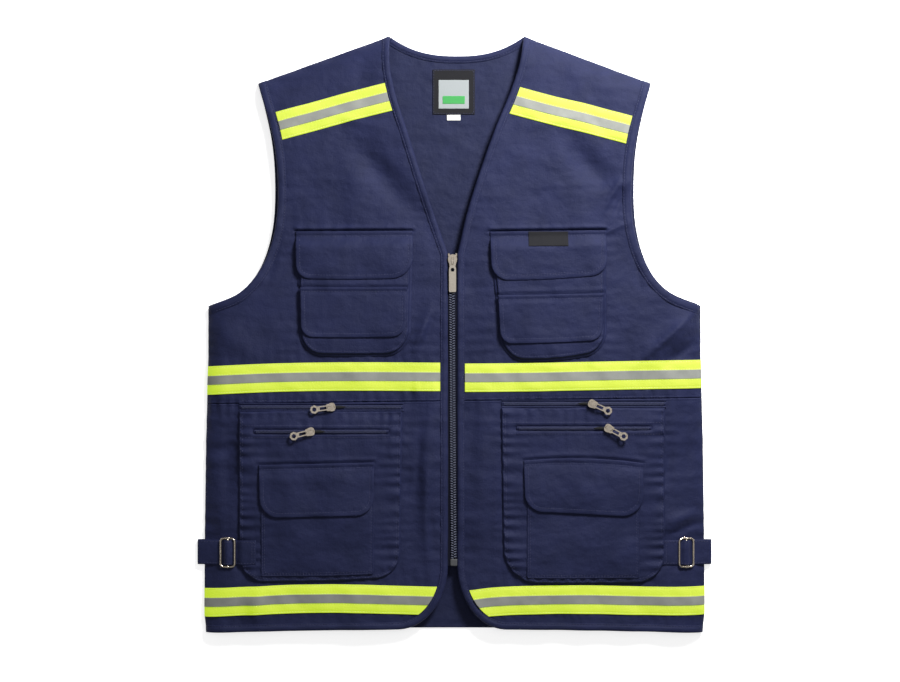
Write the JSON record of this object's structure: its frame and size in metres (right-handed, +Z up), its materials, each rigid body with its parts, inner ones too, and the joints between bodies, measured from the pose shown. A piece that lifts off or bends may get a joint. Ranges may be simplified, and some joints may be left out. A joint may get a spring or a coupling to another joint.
{
  "type": "utility work vest",
  "caption": "Sleeveless zip work vest lying front up, with reflective tapes, bellows chest pockets, zipped cargo pockets and buckled side straps.",
  "frame": {"origin": "middle of the lying vest's footprint, on the surface that it lies on", "axes": "+Y along the vest from hem to neck, +X to the viewer's right, +Z up through back and front"},
  "size_m": [0.6452, 0.747, 0.0273],
  "materials": {
    "navy_twill": "navy cotton-blend twill, matte",
    "navy_binding": "navy twill binding, folded and stitched",
    "hi_vis_lime": "fluorescent lime woven tape",
    "reflective_silver": "glass-bead reflective silver, satin",
    "webbing": "dark navy woven webbing",
    "zip_coil": "dark moulded zip teeth on woven tape",
    "nickel": "nickel-plated, lightly brushed",
    "label_black": "black woven label, bare",
    "label_white": "white woven tab, bare"
  },
  "bodies": {
    "vest": {"back_panel": "navy_twill", "front_upper_left": "navy_twill", "front_lower_left": "navy_twill", "chest_pouch_left": "navy_twill", "chest_flap_left": "navy_twill", "chest_lower_flap_left": "navy_twill", "cargo_panel_left": "navy_twill", "cargo_patch_left": "navy_twill", "cargo_flap_left": "navy_twill", "front_band_left": "navy_binding", "armhole_band_left": "navy_binding", "side_strap_left": "webbing", "buckle_left": "nickel", "shoulder_tape_left": "hi_vis_lime", "shoulder_silver_left": "reflective_silver", "waist_tape_left": "hi_vis_lime", "waist_silver_left": "reflective_silver", "hem_tape_left": "hi_vis_lime", "hem_silver_left": "reflective_silver", "upper_zip_left": "zip_coil", "upper_zip_left_slider": "nickel", "lower_zip_left": "zip_coil", "lower_zip_left_slider": "nickel", "front_upper_right": "navy_twill", "front_lower_right": "navy_twill", "chest_pouch_right": "navy_twill", "chest_flap_right": "navy_twill", "chest_lower_flap_right": "navy_twill", "cargo_panel_right": "navy_twill", "cargo_patch_right": "navy_twill", "cargo_flap_right": "navy_twill", "front_band_right": "navy_binding", "armhole_band_right": "navy_binding", "side_strap_right": "webbing", "buckle_right": "nickel", "shoulder_tape_right": "hi_vis_lime", "shoulder_silver_right": "reflective_silver", "waist_tape_right": "hi_vis_lime", "waist_silver_right": "reflective_silver", "hem_tape_right": "hi_vis_lime", "hem_silver_right": "reflective_silver", "upper_zip_right": "zip_coil", "upper_zip_right_slider": "nickel", "lower_zip_right": "zip_coil", "lower_zip_right_slider": "nickel", "back_neck_band": "navy_binding", "chest_label": "navy_binding", "back_waist_tape": "hi_vis_lime", "back_hem_tape": "hi_vis_lime", "main_zip_chain": "zip_coil", "main_zip_box": "zip_coil", "main_zip_slider": "nickel", "neck_label": "label_black", "size_tab": "label_white"},
    "main_zip_pull": {"main_zip_pull": "nickel"},
    "upper_zip_left_pull": {"upper_zip_left_pull": "nickel"},
    "lower_zip_left_pull": {"lower_zip_left_pull": "nickel"},
    "upper_zip_right_pull": {"upper_zip_right_pull": "nickel"},
    "lower_zip_right_pull": {"lower_zip_right_pull": "nickel"}
  },
  "joints": [
    {"name": "main_zip_pull_swing", "type": "hinge", "parent": "vest", "child": "main_zip_pull", "pos_m": [-0.0024, 0.09135, 0.018], "axis": [-1, 0, 0], "range_deg": [0, 170]},
    {"name": "upper_zip_left_pull_swing", "type": "hinge", "parent": "vest", "child": "upper_zip_left_pull", "pos_m": [-0.15369, -0.09107, 0.023], "axis": [-0.1392, 0.9903, 0], "range_deg": [0, 170]},
    {"name": "lower_zip_left_pull_swing", "type": "hinge", "parent": "vest", "child": "lower_zip_left_pull", "pos_m": [-0.17942, -0.12157, 0.0249], "axis": [-0.2588, 0.9659, 0], "range_deg": [0, 170]},
    {"name": "upper_zip_right_pull_swing", "type": "hinge", "parent": "vest", "child": "upper_zip_right_pull", "pos_m": [0.17186, -0.08698, 0.023], "axis": [-0.4067, -0.9135, 0], "range_deg": [0, 170]},
    {"name": "lower_zip_right_pull_swing", "type": "hinge", "parent": "vest", "child": "lower_zip_right_pull", "pos_m": [0.19185, -0.11748, 0.0249], "axis": [-0.4695, -0.8829, 0], "range_deg": [0, 170]}
  ]
}
